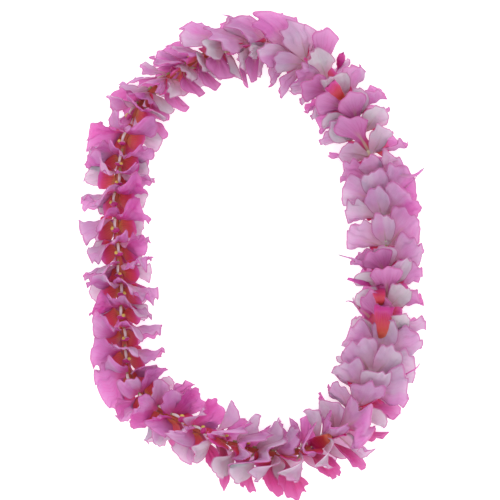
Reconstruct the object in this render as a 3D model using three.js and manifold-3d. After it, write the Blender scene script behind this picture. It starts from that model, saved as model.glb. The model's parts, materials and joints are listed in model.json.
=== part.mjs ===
// A fresh flower lei lying flat in a closed loop: vanda orchid blooms threaded through their middles on one
// cotton string, all facing the same way round, so that each nests in the hollow of the one behind it.
// Millimetres, +Z up. The loop's long way is along Y, and the string runs anticlockwise seen from above.
//
// A bloom is drawn in straight string coordinates: x is out from the loop, y along the string, z up. Each
// keeps to its own length of the string there. One smooth map then tilts the blooms, bends them round the
// loop and presses the lowest petals against the table, so that they stay clear of each other there too.

import * as THREE from "three";
import { mergeVertices } from "three/addons/utils/BufferGeometryUtils.js";
import Module from "manifold-3d";

const wasm = await Module();
wasm.setup();

// Driving dimensions
const bloomCount = 50;
const stringRadius = 0.55;
const [stringSides, stringSteps] = [4, 78];
const holeRadius = 1.4; // to the corners of the hole through a bloom
const hubSides = 5;
const [hubBack, hubFront] = [-4.6, 6]; // where the hub of a bloom starts and ends along the string
const hubBulges = [[3.4, -1.6], [3, 3]]; // its radius at two places between them
const columnTip = { width: 1.3, forward: 4, up: 2 }; // how far the hub's front edge is drawn out
const spurTip = { width: 1, forward: -3, up: -1.2 }; // and its back edge
const petalThickness = 0.62;
const bladeRoot = 1.8; // where a blade starts, from the middle of the string and inside the hub
const rootThinning = 8; // how soon a blade reaches its full thickness
const pressHeight = 9; // below this a petal bends along the table
const pressDepth = 10.6; // how far down it could come from there
const faceRoom = 13.7; // how far a bloom reaches forward along the string
const backRoom = 3.5; // and backward
const stagger = 0.15; // unevenness of the spacing
const rollSpread = 28; // degrees either way, as are the next two
const angleSpread = 8;
const sizeSpread = { bloom: 0.05, length: 0.1, width: 0.12 };
const wobble = 7; // of the tilts, along the string
const wobbleLength = 13.1;
const wobbleAcross = 20;
const nodReach = 2.4; // how far a bloom's rim tips forward or back at most
const rimRadius = 27;
const rimWaves = 3; // round a blade's rim

// The string's route round the loop, x and y, starting at the right
const route = [
  [124, -14], [119, 36], [107, 90], [79, 141], [36, 177], [-10, 185], [-56, 167], [-97, 135],
  [-116, 86], [-121, 34], [-117, -22], [-115, -72], [-105, -122], [-64, -155], [-14, -176], [38, -184],
  [86, -156], [112, -108], [122, -59],
];

// How the blooms lie at some shares of the way round the loop. roll is from straight up to the back sepal,
// towards the outside. The tilts sweep forward what is above the string (in the middle, outside and inside)
// and, where negative, what is under it. The sweeps turn forward what reaches outside and inside. Degrees,
// then the string's height above the table and the size of the blooms.
const columns = [
  "share", "roll", "middle", "outer", "inner", "under", "sweepOut", "sweepIn", "height", "size",
];
const stations = [
  [0.0, 358, 53, 54, 54, -20, 4, 4, 21, 1.04],
  [0.08, 368, 53, 55, 54, -20, -4, 8, 21, 1.04],
  [0.09, 176, 50, 53, 53, -20, -6, 10, 21, 1.12],
  [0.14, 166, 48, 52, 54, -20, 0, 4, 21, 1.02],
  [0.175, 178, 50, 54, 56, -20, 0, 4, 21, 1.04],
  [0.185, 352, 52, 56, 56, -20, 6, 4, 21, 1.08],
  [0.225, 340, 50, 56, 50, -24, 10, 0, 20.5, 1.08],
  [0.235, 112, 48, 56, 46, -28, 14, -4, 20, 1.06],
  [0.3, 112, 24, 40, 34, -44, 24, -20, 18.5, 1.0],
  [0.35, 84, 10, 22, 30, -50, 24, -20, 17.5, 0.98],
  [0.4, 34, -4, -38, -40, -56, 12, -4, 17, 1.0],
  [0.44, 6, -6, -42, -46, -56, 6, 2, 16.5, 0.98],
  [0.46, 4, -8, 46, -48, -56, 6, 6, 16.5, 0.98],
  [0.5, -4, -6, 46, -44, -56, 2, 8, 16.5, 1.0],
  [0.56, 4, -6, -46, 44, -56, 4, 6, 16.5, 0.98],
  [0.6, 0, -10, -46, 20, -56, 6, 4, 16.5, 1.0],
  [0.64, -4, -20, -44, -44, -52, 8, 6, 17, 1.02],
  [0.68, -46, -40, -46, -46, -52, 14, 10, 17.5, 1.08],
  [0.71, -74, -14, -48, 40, -48, 12, 8, 18, 1.08],
  [0.77, -92, 6, -48, 50, -46, 4, 8, 18, 1.12],
  [0.82, -84, 30, -40, 52, -40, 8, 4, 19, 1.16],
  [0.855, -66, 54, 50, 56, -24, 4, 4, 20.5, 1.18],
  [0.88, -14, 54, 57, 56, -14, 4, 6, 21, 1.16],
  [0.925, -6, 54, 56, 54, -20, 4, 6, 21, 1.1],
  [0.935, -184, 49, 52, 54, -20, 6, 6, 21, 1.12],
  [0.985, -178, 50, 54, 54, -20, 4, 4, 21, 1.06],
  [1.0, -4, 53, 54, 54, -20, 4, 4, 21, 1.04],
].map((row) => Object.fromEntries(columns.map((key, c) => [key, row[c]])));

// The blades of a bloom, from the hub out. Along a blade, a runs from 0 at its root to 1 at its tip. Its
// width goes as waist + belly a + tip a a, and its place along the string as lift + rise a. cup, curl, fold
// and wave bend it out of its plane, the last three by a draw. The lip runs forward by reach, then outward.
const sepal = {
  length: 28.5, width: 36, waist: 0.24, belly: 0.95, tip: -0.45, cup: -1, curl: 4, fold: 1.6, wave: 1.3,
};
const petal = {
  length: 31, width: 42, waist: 0.24, belly: 0.9, tip: -0.2, cup: 1.4, curl: 4, fold: 2, wave: 1.9,
};
const lip = { length: 31, width: 38, waist: 0.3, belly: -0.2, tip: 0, cup: -1, curl: 3, fold: 1, wave: 1.4 };
const flat = { reach: 0, drop: 1 };
const blades = [
  { ...sepal, ...flat, angle: 0, lift: -0.5, rise: -0.4, lean: 14, rim: 5 },
  { ...petal, ...flat, angle: 68, lift: 0.9, rise: 0.8, lean: 26, rim: 6 },
  { ...petal, ...flat, angle: -68, lift: 0.9, rise: 0.8, lean: 26, rim: 6 },
  { ...sepal, ...flat, angle: 130, lift: -0.8, rise: -0.8, lean: 18, rim: 5 },
  { ...sepal, ...flat, angle: -130, lift: -0.8, rise: -0.8, lean: 18, rim: 5 },
  { ...lip, reach: 11.5, drop: 1.6, angle: 180, lift: 0.5, rise: 0, lean: 12, rim: 10, isLip: true },
];
const lipTurn = 0.28; // how soon the lip turns outward
const sideLobe = { at: 0.28, spread: 0.13, width: 0.72, height: 11 }; // the ears beside the column
const fan = { from: 0.36, to: 0.95, width: 0.82, notch: 0.07, notchWidth: 0.3 }; // the lip's broad end

const radians = Math.PI / 180;

// A repeatable draw from -1 to 1
function draw(bloom, slot) {
  const v = Math.sin(bloom * 12.9898 + slot * 78.233 + 4.7) * 43758.5453;
  return 2 * (v - Math.floor(v)) - 1;
}

function smooth(x, low, high) {
  const f = Math.min(1, Math.max(0, (x - low) / (high - low)));
  return f * f * (3 - 2 * f);
}

// A value of the stations at a length along the string, eased from one to the next
function around(key, s) {
  const share = s / loopLength - Math.floor(s / loopLength);
  const k = stations.findIndex((_, i) => share <= stations[i + 1].share);
  const [from, to] = [stations[k], stations[k + 1]];
  return from[key] + (to[key] - from[key]) * smooth(share, from.share, to.share);
}

// The closed route as a smooth curve, and a table of its length
const tableSteps = 40 * route.length;
function onRoute(u) {
  const i = Math.floor(u);
  const f = u - i;
  const near = [-1, 0, 1, 2].map((k) => route[(i + k + route.length) % route.length]);
  const [[x, dx], [y, dy]] = [0, 1].map((c) => {
    const [a, b, d, e] = near.map((point) => point[c]);
    const [c1, c2, c3] = [d - a, 2 * a - 5 * b + 4 * d - e, 3 * b - a - 3 * d + e];
    return [b + (f * (c1 + f * (c2 + f * c3))) / 2, c1 + f * (2 * c2 + 3 * f * c3)];
  });
  const speed = Math.hypot(dx, dy);
  return { x, y, outX: dy / speed, outY: -dx / speed };
}
const lengths = [0];
for (let k = 0; k < tableSteps; k++) {
  const a = onRoute((k * route.length) / tableSteps);
  const b = onRoute(((k + 1) * route.length) / tableSteps);
  lengths.push(lengths[k] + Math.hypot(b.x - a.x, b.y - a.y));
}
const loopLength = lengths.at(-1);
function onString(s) {
  const at = s - loopLength * Math.floor(s / loopLength);
  const k = Math.max(1, lengths.findIndex((length) => length >= at)) - 1;
  const f = (at - lengths[k]) / (lengths[k + 1] - lengths[k]);
  return onRoute(((k + f) * route.length) / tableSteps);
}

// From straight string coordinates to the real place. The innermost few millimetres stay round the string.
const [freeFrom, freeTo] = [1.5, 7];
const [sideFrom, sideTo] = [4, 18];
const underBlend = 6;
const sweepBlend = 12;
function place(out, s, up) {
  const free = smooth(Math.hypot(out, up), freeFrom, freeTo);
  const [side, sweepSide] = out > 0 ? ["outer", "sweepOut"] : ["inner", "sweepIn"];
  const middle = around("middle", s);
  const over = middle + (around(side, s) - middle) * smooth(Math.abs(out), sideFrom, sideTo);
  const under = around("under", s);
  const steady = under + (over - under) * smooth(up, -underBlend, underBlend);
  const tilt = free * (steady + wobble * Math.sin(s / wobbleLength + out / wobbleAcross)) * radians;
  const sweep = around(sweepSide, s) * smooth(Math.abs(out), 0, sweepBlend) * radians;
  const c = onString(s + up * Math.sin(tilt) + Math.abs(out) * Math.sin(sweep));
  const reach = out * Math.cos(sweep);
  const z = around("height", s) + up * Math.cos(tilt);
  const pressed = pressHeight - pressDepth * (1 - Math.exp((z - pressHeight) / pressDepth));
  return new THREE.Vector3(c.x + c.outX * reach, c.y + c.outY * reach, z < pressHeight ? pressed : z);
}

// Where each bloom sits and how it is turned
const spacing = loopLength / bloomCount;
const blooms = Array.from({ length: bloomCount }, (_, i) => {
  const s = (i + stagger * draw(i, 1)) * spacing;
  return {
    i,
    s,
    turn: (around("roll", s) + rollSpread * draw(i, 2)) * radians,
    size: around("size", s) * (1 + sizeSpread.bloom * draw(i, 3)),
    nod: nodReach * draw(i, 4),
    sway: nodReach * draw(i, 5),
  };
});
blooms.forEach((bloom, i) => {
  const gap = (j) => (blooms[j % bloomCount].s - blooms[(j - 1) % bloomCount].s + loopLength) % loopLength;
  bloom.ahead = gap(i + 1) / spacing;
  bloom.behind = gap(i + bloomCount) / spacing;
});

// A point of a bloom, given as across, forward and towards the back sepal, kept in the bloom's own room
function inBloom(bloom, across, forward, back) {
  const tipped = forward + (back * bloom.nod + across * bloom.sway) / rimRadius;
  const room = tipped > 0 ? faceRoom * bloom.ahead : backRoom * bloom.behind;
  const up = back * Math.cos(bloom.turn) - across * Math.sin(bloom.turn);
  const out = back * Math.sin(bloom.turn) + across * Math.cos(bloom.turn);
  return place(out, bloom.s + tipped / (1 + (tipped / room) ** 4) ** 0.25, up);
}

// A point of a blade's middle surface: x across it and z from root to tip, both in the unit disc
function onBlade(bloom, k, x, z) {
  const blade = blades[k];
  const drawn = (slot) => draw(bloom.i, 10 + 10 * k + slot);
  const a = (z + 1) / 2;
  const end = blade.isLip ? smooth(a, fan.from, fan.to) : 0;
  const ear = blade.isLip ? Math.exp(-(((a - sideLobe.at) / sideLobe.spread) ** 2)) : 0;
  const shape = blade.waist + a * (blade.belly + a * blade.tip) + fan.width * end + sideLobe.width * ear;
  const length = blade.length * (1 + sizeSpread.length * drawn(0)) * bloom.size;
  const width = blade.width * (1 + sizeSpread.width * drawn(1)) * bloom.size;
  const indent = fan.notch * end * Math.exp(-((x / fan.notchWidth) ** 2));
  const raised = sideLobe.height * bloom.size * ear * x * x;
  const far = bladeRoot * bloom.size + length * Math.abs(a - indent) ** blade.drop - raised;
  const side = (x * width * shape) / 2;
  const ripple = Math.hypot(x, z) ** 3 * Math.sin(rimWaves * Math.atan2(x, z) + Math.PI * drawn(2));
  const bow = (blade.cup + blade.fold * drawn(8)) * x * x + blade.wave * ripple * smooth(a, 0.1, 0.6);
  const lean = Math.sin(blade.lean * drawn(5) * radians) * side;
  const curl = blade.curl * drawn(4) * a * a;
  const mouth = blade.reach * (1 - Math.exp(-a / lipTurn));
  const forward = blade.lift + blade.rise * a + mouth + bow + lean + curl;
  const angle = (blade.angle + angleSpread * drawn(3)) * radians;
  const [sin, cos] = [Math.sin(angle), Math.cos(angle)];
  return inBloom(bloom, far * sin + side * cos, forward, far * cos - side * sin);
}

// A three.js geometry as a closed solid, with each of its points moved
function solid(geometry, move) {
  geometry.deleteAttribute("normal");
  geometry.deleteAttribute("uv");
  const merged = mergeVertices(geometry, 1e-4);
  const positions = merged.getAttribute("position");
  for (let v = 0; v < positions.count; v++) {
    const { x, y, z } = move(new THREE.Vector3().fromBufferAttribute(positions, v));
    positions.setXYZ(v, x, y, z);
  }
  const [vertProperties, triVerts] = [positions.array, Uint32Array.from(merged.index.array)];
  return new wasm.Manifold(new wasm.Mesh({ numProp: 3, vertProperties, triVerts }));
}

// A thin plate, split into triangles alike on both faces, that thins towards its root. Each corner is
// thickened square to the triangles that meet there.
function bladeSolid(bloom, k) {
  const { rim } = blades[k];
  const middle = onBlade(bloom, k, 0, 0);
  const corners = Array.from({ length: rim }, (_, n) => {
    const turn = Math.PI + (2 * Math.PI * n) / rim;
    return onBlade(bloom, k, Math.sin(turn), Math.cos(turn));
  });
  const facets = corners.map((corner, n) => {
    const next = corners[(n + 1) % rim].clone().sub(middle);
    return corner.clone().sub(middle).cross(next).normalize();
  });
  const middleNormal = facets.reduce((sum, facet) => sum.add(facet), new THREE.Vector3()).normalize();
  const disc = new THREE.CylinderGeometry(1, 1, petalThickness, rim, 1, false, Math.PI);
  return solid(disc, ({ x, y, z }) => {
    if (Math.hypot(x, z) < 0.5) return middle.clone().addScaledVector(middleNormal, y);
    const n = Math.round((rim * (Math.atan2(x, z) + Math.PI)) / (2 * Math.PI)) % rim;
    const normal = facets[n].clone().add(facets[(n + rim - 1) % rim]).normalize();
    return corners[n].clone().addScaledVector(normal, y * Math.min(1, rootThinning * (z + 1)));
  });
}

// The five-sided ring round the string that carries the blades. Its front edge is drawn out over the
// throat as the column, and its back edge under the lip as the spur.
function hubSolid(bloom) {
  const profile = [[holeRadius, hubBack], ...hubBulges, [holeRadius, hubFront], [holeRadius, hubBack]];
  const points = profile.map(([r, y]) => new THREE.Vector2(r, y));
  const [above, below] = [0.7 * holeRadius, -0.95 * holeRadius]; // where the top and the bottom corner lie
  return solid(new THREE.LatheGeometry(points, hubSides, Math.PI / hubSides), ({ x, y, z }) => {
    const isColumn = y > hubFront - 0.1 && z > above;
    const isSpur = y < hubBack + 0.1 && z < below;
    const tip = isColumn ? columnTip : isSpur ? spurTip : { width: 1, forward: 0, up: 0 };
    return inBloom(bloom, tip.width * x, y + tip.forward, z + tip.up);
  });
}

function asMesh(made, name, material) {
  const { vertProperties, triVerts } = made.getMesh();
  const geometry = new THREE.BufferGeometry()
    .setAttribute("position", new THREE.BufferAttribute(Float32Array.from(vertProperties), 3))
    .setIndex(new THREE.BufferAttribute(Uint32Array.from(triVerts), 1));
  const mesh = new THREE.Mesh(geometry, material);
  mesh.name = name;
  return mesh;
}

const petalPink = new THREE.MeshStandardMaterial({ color: 0xc87fbb, roughness: 0.55, metalness: 0 });
const cotton = new THREE.MeshStandardMaterial({ color: 0xe9e2d6, roughness: 0.9, metalness: 0 });

const table = solid(new THREE.BoxGeometry(600, 700, 20).translate(0, 0, -10), (p) => p);

function bloomMesh(bloom) {
  const pieces = blades.map((_, k) => bladeSolid(bloom, k));
  const made = pieces.reduce((sum, piece) => sum.add(piece), hubSolid(bloom)).subtract(table);
  return asMesh(made, `bloom_${String(bloom.i + 1).padStart(2, "0")}`, petalPink);
}

function stringMesh() {
  const ringRadius = 100;
  const ring = new THREE.TorusGeometry(ringRadius, stringRadius, stringSides, stringSteps);
  const made = solid(ring, ({ x, y, z }) => {
    const turn = Math.atan2(y, x) / (2 * Math.PI);
    return place(Math.hypot(x, y) - ringRadius, turn * loopLength, z);
  });
  return asMesh(made, "string", cotton);
}

const lei = new THREE.Group();
lei.add(stringMesh(), ...blooms.map(bloomMesh));

export default lei;
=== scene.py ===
import json
import math

import bmesh
import bpy
import numpy as np
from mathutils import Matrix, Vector

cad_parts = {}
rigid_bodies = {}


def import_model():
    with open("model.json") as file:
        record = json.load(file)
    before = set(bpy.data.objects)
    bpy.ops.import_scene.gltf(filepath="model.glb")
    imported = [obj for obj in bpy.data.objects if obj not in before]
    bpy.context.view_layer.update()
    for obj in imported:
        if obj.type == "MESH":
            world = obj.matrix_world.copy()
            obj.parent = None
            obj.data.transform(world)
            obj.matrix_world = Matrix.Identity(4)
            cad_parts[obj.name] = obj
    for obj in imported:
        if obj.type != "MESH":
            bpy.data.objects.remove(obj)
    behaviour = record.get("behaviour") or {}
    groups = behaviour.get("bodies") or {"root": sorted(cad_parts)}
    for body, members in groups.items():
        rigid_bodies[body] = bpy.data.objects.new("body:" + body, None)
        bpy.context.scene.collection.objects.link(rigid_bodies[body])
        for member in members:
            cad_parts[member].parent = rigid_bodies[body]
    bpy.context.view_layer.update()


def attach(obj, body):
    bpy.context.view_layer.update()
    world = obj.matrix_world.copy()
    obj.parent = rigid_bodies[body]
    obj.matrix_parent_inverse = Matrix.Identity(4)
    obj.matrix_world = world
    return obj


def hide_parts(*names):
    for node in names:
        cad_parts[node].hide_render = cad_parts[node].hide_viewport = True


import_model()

scene = bpy.context.scene

# the camera looks straight down, and 500 pixels take in 0.45 m at the garland's middle height
photoView = {"height": 2.6, "level": 0.03, "across": 0.45, "sensor": 36}


def addCamera():
    data = bpy.data.cameras.new("photoCamera")
    data.sensor_width = photoView["sensor"]
    data.lens = photoView["sensor"] * (photoView["height"] - photoView["level"]) / photoView["across"]
    camera = bpy.data.objects.new("photoCamera", data)
    camera.location = (0, 0, photoView["height"])
    scene.collection.objects.link(camera)
    scene.camera = camera


addCamera()
print("camera ready")

# the string's route round the loop, anticlockwise from the right
route = np.array([
    (0.124, -0.014), (0.119, 0.036), (0.107, 0.090), (0.079, 0.141), (0.036, 0.177), (-0.010, 0.185),
    (-0.056, 0.167), (-0.097, 0.135), (-0.116, 0.086), (-0.121, 0.034), (-0.117, -0.022),
    (-0.115, -0.072), (-0.105, -0.122), (-0.064, -0.155), (-0.014, -0.176), (0.038, -0.184),
    (0.086, -0.156), (0.112, -0.108), (0.122, -0.059),
])
garland = {
    "blooms": 50,
    "stagger": 0.15,  # unevenness of the spacing
    "pressHeight": 0.009,  # below this a petal bends along the table
    "pressDepth": 0.0106,
    "lowest": 0.0002,
    "faceRoom": 0.0137,  # how far a bloom reaches forward along the string, and backward
    "backRoom": 0.0035,
    "rollSpread": 28,  # degrees
    "sizeSpread": 0.05,
    "nodReach": 0.0024,  # how far a bloom's rim tips forward or back at most
    "rimRadius": 0.027,
    "easing": 4,  # how sharply a bloom stops at the ends of its room
    "wobble": 7,  # of the tilts, in degrees
    "wobbleLength": 0.0131,
    "wobbleAcross": 0.020,
    "tiltFrom": (0.0015, 0.007),  # how far from the string the tilts set in and are full
    "sideFrom": (0.004, 0.018),  # the same for the tilts of the sides
    "topFrom": (-0.006, 0.006),  # from below the string to above it
    "sweepFrom": (0, 0.012),
    "crushed": (0.17, 0.23, 0.80, 0.86),  # shares of the way where crushed petals begin and end
    "crushWidth": 0.4,  # what they lose of their width, and how far they fold
    "crushFold": 0.006,
    "shingleNotch": 0.5,  # how deep the rims are notched where nothing is crushed
    "open": (0.18, 0.93),  # outside these shares the petals lie like shingles
    "hanging": (0.58, 0.84),  # here the lips hang down, narrow and pleated
    "lipTones": {"shingled": 0.3, "open": 0.6, "hanging": 1.2},
    "tableSteps": 40,  # for each point of the route
}
# how the blooms lie at some shares of the way round: the roll of the back sepal from straight up, the tilt
# forward of what is on top (in the middle, outside and inside) and of what is under the string, the sweep
# forward of what reaches outside and inside, the string's height and the size
stationKeys = ["share", "roll", "middle", "outer", "inner", "under", "sweepOuter", "sweepInner", "height",
               "size"]
stationRows = [
    (0.0, 358, 53, 54, 54, -20, 4, 4, 0.021, 1.04),
    (0.08, 368, 53, 55, 54, -20, -4, 8, 0.021, 1.04),
    (0.09, 176, 50, 53, 53, -20, -6, 10, 0.021, 1.12),
    (0.14, 166, 48, 52, 54, -20, 0, 4, 0.021, 1.02),
    (0.175, 178, 50, 54, 56, -20, 0, 4, 0.021, 1.04),
    (0.185, 352, 52, 56, 56, -20, 6, 4, 0.021, 1.08),
    (0.225, 340, 50, 56, 50, -24, 10, 0, 0.0205, 1.08),
    (0.235, 112, 48, 56, 46, -28, 14, -4, 0.02, 1.06),
    (0.3, 112, 24, 40, 34, -44, 24, -20, 0.0185, 1.0),
    (0.35, 84, 10, 22, 30, -50, 24, -20, 0.0175, 0.98),
    (0.4, 34, -4, -38, -40, -56, 12, -4, 0.017, 1.0),
    (0.44, 6, -6, -42, -46, -56, 6, 2, 0.0165, 0.98),
    (0.46, 4, -8, 46, -48, -56, 6, 6, 0.0165, 0.98),
    (0.5, -4, -6, 46, -44, -56, 2, 8, 0.0165, 1.0),
    (0.56, 4, -6, -46, 44, -56, 4, 6, 0.0165, 0.98),
    (0.6, 0, -10, -46, 20, -56, 6, 4, 0.0165, 1.0),
    (0.64, -4, -20, -44, -44, -52, 8, 6, 0.017, 1.02),
    (0.68, -46, -40, -46, -46, -52, 14, 10, 0.0175, 1.08),
    (0.71, -74, -14, -48, 40, -48, 12, 8, 0.018, 1.08),
    (0.77, -92, 6, -48, 50, -46, 4, 8, 0.018, 1.12),
    (0.82, -84, 30, -40, 52, -40, 8, 4, 0.019, 1.16),
    (0.855, -66, 54, 50, 56, -24, 4, 4, 0.0205, 1.18),
    (0.88, -14, 54, 57, 56, -14, 4, 6, 0.021, 1.16),
    (0.925, -6, 54, 56, 54, -20, 4, 6, 0.021, 1.1),
    (0.935, -184, 49, 52, 54, -20, 6, 6, 0.021, 1.12),
    (0.985, -178, 50, 54, 54, -20, 4, 4, 0.021, 1.06),
    (1.0, -4, 53, 54, 54, -20, 4, 4, 0.021, 1.04),
]
stations = dict(zip(stationKeys, np.array(stationRows).T))


def smooth(x, low, high):
    f = np.clip((x - low) / (high - low), 0, 1)
    return f * f * (3 - 2 * f)


def draw(bloom, slot):  # a repeatable draw from -1 to 1
    v = math.sin(bloom * 12.9898 + slot * 78.233 + 4.7) * 43758.5453
    return 2 * (v - math.floor(v)) - 1


def onRoute(u):
    i = np.floor(u).astype(int)
    f = np.asarray(u - i)[..., None]
    a, b, d, e = (route[(i + k) % len(route)] for k in (-1, 0, 1, 2))
    c1, c2, c3 = d - a, 2 * a - 5 * b + 4 * d - e, 3 * b - a - 3 * d + e
    way = c1 + f * (2 * c2 + 3 * f * c3)
    way = way / np.linalg.norm(way, axis=-1, keepdims=True)
    return b + f * (c1 + f * (c2 + f * c3)) / 2, np.stack([way[..., 1], -way[..., 0]], axis=-1)


routeSteps = np.arange(garland["tableSteps"] * len(route) + 1) / garland["tableSteps"]
chords = np.linalg.norm(np.diff(onRoute(routeSteps)[0], axis=0), axis=1)
stringLengths = np.concatenate([[0], np.cumsum(chords)])
loopLength = stringLengths[-1]


def around(key, s):  # a value of the stations at a length along the string, eased from one to the next
    share = np.mod(np.asarray(s) / loopLength, 1)
    shares = stations["share"]
    k = np.clip(np.searchsorted(shares, share) - 1, 0, len(shares) - 2)
    values = stations[key]
    return values[k] + (values[k + 1] - values[k]) * smooth(share, shares[k], shares[k + 1])


def place(out, s, up):  # from straight string coordinates to the real place
    aside = np.abs(out)
    middle, under = around("middle", s), around("under", s)
    side = np.where(out > 0, around("outer", s), around("inner", s))
    over = middle + (side - middle) * smooth(aside, *garland["sideFrom"])
    tilt = under + (over - under) * smooth(up, *garland["topFrom"])
    wobble = garland["wobble"] * np.sin(s / garland["wobbleLength"] + out / garland["wobbleAcross"])
    tilt = np.radians(smooth(np.hypot(out, up), *garland["tiltFrom"]) * (tilt + wobble))
    sweep = np.where(out > 0, around("sweepOuter", s), around("sweepInner", s))
    sweep = np.radians(sweep * smooth(aside, *garland["sweepFrom"]))
    along = np.mod(s + up * np.sin(tilt) + aside * np.sin(sweep), loopLength)
    point, outward = onRoute(np.interp(along, stringLengths, routeSteps))
    z = around("height", s) + up * np.cos(tilt)
    low, depth = garland["pressHeight"], garland["pressDepth"]
    pressed = low - depth * (1 - np.exp(np.minimum(z - low, 0) / depth))
    flat = point + outward * (out * np.cos(sweep))[..., None]
    z = np.maximum(np.where(z < low, pressed, z), garland["lowest"])
    return np.concatenate([flat, z[..., None]], axis=-1)


def layOutBlooms():
    spacing = loopLength / garland["blooms"]
    begin, full, wane, end = garland["crushed"]
    laid = []
    for i in range(garland["blooms"]):
        s = (i + garland["stagger"] * draw(i, 1)) * spacing
        share = s / loopLength
        isOpen = garland["open"][0] <= share <= garland["open"][1]
        isHanging = garland["hanging"][0] < share < garland["hanging"][1]
        laid.append({
            "i": i,
            "s": s,
            "turn": math.radians(around("roll", s) + garland["rollSpread"] * draw(i, 2)),
            "size": float(around("size", s)) * (1 + garland["sizeSpread"] * draw(i, 3)),
            "nod": garland["nodReach"] * draw(i, 4),
            "sway": garland["nodReach"] * draw(i, 5),
            "crush": float(smooth(share, begin, full) * (1 - smooth(share, wane, end))),
            "hang": float(isHanging),
            "lipTone": garland["lipTones"]["hanging" if isHanging else "open" if isOpen else "shingled"],
        })
    for i, bloom in enumerate(laid):
        bloom["ahead"] = (laid[(i + 1) % len(laid)]["s"] - bloom["s"]) % loopLength / spacing
        bloom["behind"] = (bloom["s"] - laid[i - 1]["s"]) % loopLength / spacing
    return laid


def inBloom(bloom, across, forward, back, rooms):  # rooms is how far the bloom may reach forward and backward
    tipped = forward + (back * bloom["nod"] + across * bloom["sway"]) / garland["rimRadius"]
    room = np.where(tipped > 0, rooms[0] * bloom["ahead"], rooms[1] * bloom["behind"])
    power = garland["easing"]
    up = back * math.cos(bloom["turn"]) - across * math.sin(bloom["turn"])
    out = back * math.sin(bloom["turn"]) + across * math.cos(bloom["turn"])
    return place(out, bloom["s"] + tipped / (1 + (tipped / room) ** power) ** (1 / power), up)


blooms = layOutBlooms()
print("blooms laid out:", len(blooms), "on a string of", round(loopLength, 4))

# The blades of a bloom, each a disc drawn out from its root. Waist, belly and tip give its width along the
# way. Cup, fold, curl, wave, frill, pleat, groove and crumple bend its surface, and notch and point its rim.
# Reach and drop lead the lip forward and then outward. Lift, rise, lean, turn and angle place the blade. Tone
# goes from white over lilac to deep pink, and flush is added to it where the petals are crushed.
plain = {"reach": 0, "drop": 1, "turn": 0, "pleat": 0, "pleats": 3, "groove": 0.0004, "crumple": 0,
         "point": 0, "flush": 0, "rooms": (garland["faceRoom"], garland["backRoom"])}
sepal = {**plain, "length": 0.0285, "width": 0.036, "waist": 0.24, "belly": 1.0, "tip": -0.52,
         "cup": -0.001, "curl": 0.004, "fold": 0.0026, "wave": 0.0024, "frill": 0.0012, "notch": 0.026,
         "pleat": 0.0004, "pleats": 5, "groove": 0.0009, "crumple": 0.0008, "point": 0.05, "cells": 22}
petal = {**plain, "length": 0.031, "width": 0.042, "waist": 0.24, "belly": 1.0, "tip": -0.36,
         "cup": 0.0014, "curl": 0.004, "fold": 0.0035, "wave": 0.0034, "frill": 0.0022, "notch": 0.045,
         "pleat": 0.0009, "pleats": 5, "groove": 0.0009, "crumple": 0.0015, "point": 0.05, "cells": 25}
lip = {**plain, "length": 0.031, "width": 0.038, "waist": 0.3, "belly": -0.2, "tip": 0.0, "cup": -0.001,
       "curl": 0.003, "fold": 0.001, "wave": 0.0014, "frill": 0.0012, "notch": 0.014, "reach": 0.0115,
       "drop": 1.6, "pleat": 0.0009, "pleats": 4, "cells": 25}
lobe = {**plain, "length": 0.0172, "width": 0.0245, "waist": 0.4, "belly": 2.0, "tip": -1.75, "cup": 0.002,
        "curl": 0.0, "fold": 0.0012, "wave": 0.0012, "frill": 0.0003, "notch": 0.02, "cells": 17,
        "rooms": (0.0165, 0.0065)}
sidePetal = {**petal, "lift": 0.0009, "rise": 0.0008, "lean": 26, "tone": 0.6, "flush": 0.08}
sideSepal = {**sepal, "lift": -0.0008, "rise": -0.0008, "lean": 18, "tone": 0.12, "flush": -0.12}
sideLobe = {**lobe, "lift": 0.0068, "rise": 0.001, "lean": 6, "tone": 0.6}
blades = [
    {**sepal, "angle": 0, "lift": -0.0005, "rise": -0.0004, "lean": 14, "tone": 0.5, "flush": 0.06},
    {**sidePetal, "angle": 68},
    {**sidePetal, "angle": -68},
    {**sideSepal, "angle": 130},
    {**sideSepal, "angle": -130},
    {**lip, "angle": 180, "lift": 0.0005, "rise": 0.0, "lean": 12, "tone": 0.6},
    {**sideLobe, "angle": 108, "turn": 72},
    {**sideLobe, "angle": -108, "turn": -72},
]
lipBlade = 5
lobeBlades = (6, 7)
bladeRoot = 0.0018  # how far from the string's middle a blade starts
bladeSpread = {"length": 0.1, "width": 0.12, "angle": 8, "notch": 0.8}  # from bloom to bloom
bladeFlesh = {"thickness": 0.0005, "rootThinning": 8, "rimThinning": 0.4, "slopeStep": 0.02}
toneSpread = {"blade": 0.24, "halves": 0.16, "halfEdge": 12, "along": 0.2}
lipTurn = 0.28  # the lip runs forward first, then turns outward
fan = {  # the lip's broad end, and what changes where it hangs
    "from": 0.36, "to": 0.95, "width": 0.92, "bulge": 0.06, "bulgeWidth": 0.4,
    "hangingWidth": 0.4, "hangingNotch": 2.5, "hangingPleat": 0.6,
}
rimWaves = {"ripple": 3, "frill": 9, "notches": 6, "nicks": 13, "tears": 23,  # how many on a blade's rim
            "nickDepth": 0.5, "tearDepth": 0.35, "notchAlong": 0.5}
rimPower = {"notch": 4, "ripple": 3, "frill": 6}  # how closely each keeps to the rim
dents = [(5, 3, 2), (-4, 6, 1)]  # crumples: how many across and along a blade, and the draw that shifts them
lineWidths = {"point": 0.16, "groove": 0.08}  # across a blade
comesIn = {  # from where to where along a blade each of these grows
    "notch": (0.25, 0.6), "point": (0.7, 1), "ripple": (0.1, 0.6), "frill": (0.35, 0.8),
    "crumple": (0.2, 0.6), "pleat": (0.2, 0.7), "groove": (0, 0.2), "grooveEnd": (0.6, 1),
}


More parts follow.
